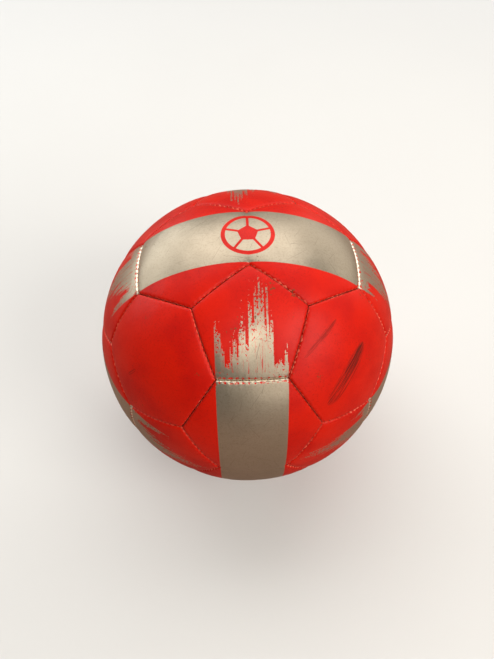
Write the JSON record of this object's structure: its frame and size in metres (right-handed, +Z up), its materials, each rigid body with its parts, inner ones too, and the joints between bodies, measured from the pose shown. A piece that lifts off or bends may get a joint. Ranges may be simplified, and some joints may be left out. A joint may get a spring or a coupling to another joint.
{
  "type": "football",
  "caption": "Round inflated football stitched from pentagonal, hexagonal and double-hexagonal padded panels over a bladder, with a recessed needle valve.",
  "frame": {"origin": "centre of the ball", "axes": "+Z up through the middle of one double hexagon, whose printed band runs along X; +X right, +Y back; the valve is on the (-1, 1, 1) diagonal"},
  "size_m": [0.22, 0.22, 0.22],
  "materials": {
    "cover_sheet": "satin coated synthetic leather, red with worn silver print",
    "foam_backing": "closed-cell foam laminated to woven fabric",
    "bladder_rubber": "matt moulded butyl rubber",
    "valve_rubber": "smooth moulded rubber",
    "patch_rubber": "matt, glued",
    "thread": "twisted polyester, waxed"
  },
  "bodies": {
    "root": {"backing_double_back": "foam_backing", "backing_double_bottom": "foam_backing", "backing_double_front": "foam_backing", "backing_double_left": "foam_backing", "backing_double_right": "foam_backing", "backing_double_top": "foam_backing", "backing_hex_left_back_bottom": "foam_backing", "backing_hex_left_back_top": "foam_backing", "backing_hex_left_front_bottom": "foam_backing", "backing_hex_left_front_top": "foam_backing", "backing_hex_right_back_bottom": "foam_backing", "backing_hex_right_back_top": "foam_backing", "backing_hex_right_front_bottom": "foam_backing", "backing_hex_right_front_top": "foam_backing", "backing_pent_back_left": "foam_backing", "backing_pent_back_right": "foam_backing", "backing_pent_bottom_back": "foam_backing", "backing_pent_bottom_front": "foam_backing", "backing_pent_front_left": "foam_backing", "backing_pent_front_right": "foam_backing", "backing_pent_left_bottom": "foam_backing", "backing_pent_left_top": "foam_backing", "backing_pent_right_bottom": "foam_backing", "backing_pent_right_top": "foam_backing", "backing_pent_top_back": "foam_backing", "backing_pent_top_front": "foam_backing", "bladder": "bladder_rubber", "cover_double_back": "cover_sheet", "cover_double_bottom": "cover_sheet", "cover_double_front": "cover_sheet", "cover_double_left": "cover_sheet", "cover_double_right": "cover_sheet", "cover_double_top": "cover_sheet", "cover_hex_left_back_bottom": "cover_sheet", "cover_hex_left_back_top": "cover_sheet", "cover_hex_left_front_bottom": "cover_sheet", "cover_hex_left_front_top": "cover_sheet", "cover_hex_right_back_bottom": "cover_sheet", "cover_hex_right_back_top": "cover_sheet", "cover_hex_right_front_bottom": "cover_sheet", "cover_hex_right_front_top": "cover_sheet", "cover_pent_back_left": "cover_sheet", "cover_pent_back_right": "cover_sheet", "cover_pent_bottom_back": "cover_sheet", "cover_pent_bottom_front": "cover_sheet", "cover_pent_front_left": "cover_sheet", "cover_pent_front_right": "cover_sheet", "cover_pent_left_bottom": "cover_sheet", "cover_pent_left_top": "cover_sheet", "cover_pent_right_bottom": "cover_sheet", "cover_pent_right_top": "cover_sheet", "cover_pent_top_back": "cover_sheet", "cover_pent_top_front": "cover_sheet", "seam_thread": "thread", "valve_body": "valve_rubber", "valve_patch": "patch_rubber", "valve_plug": "valve_rubber"}
  },
  "joints": []
}
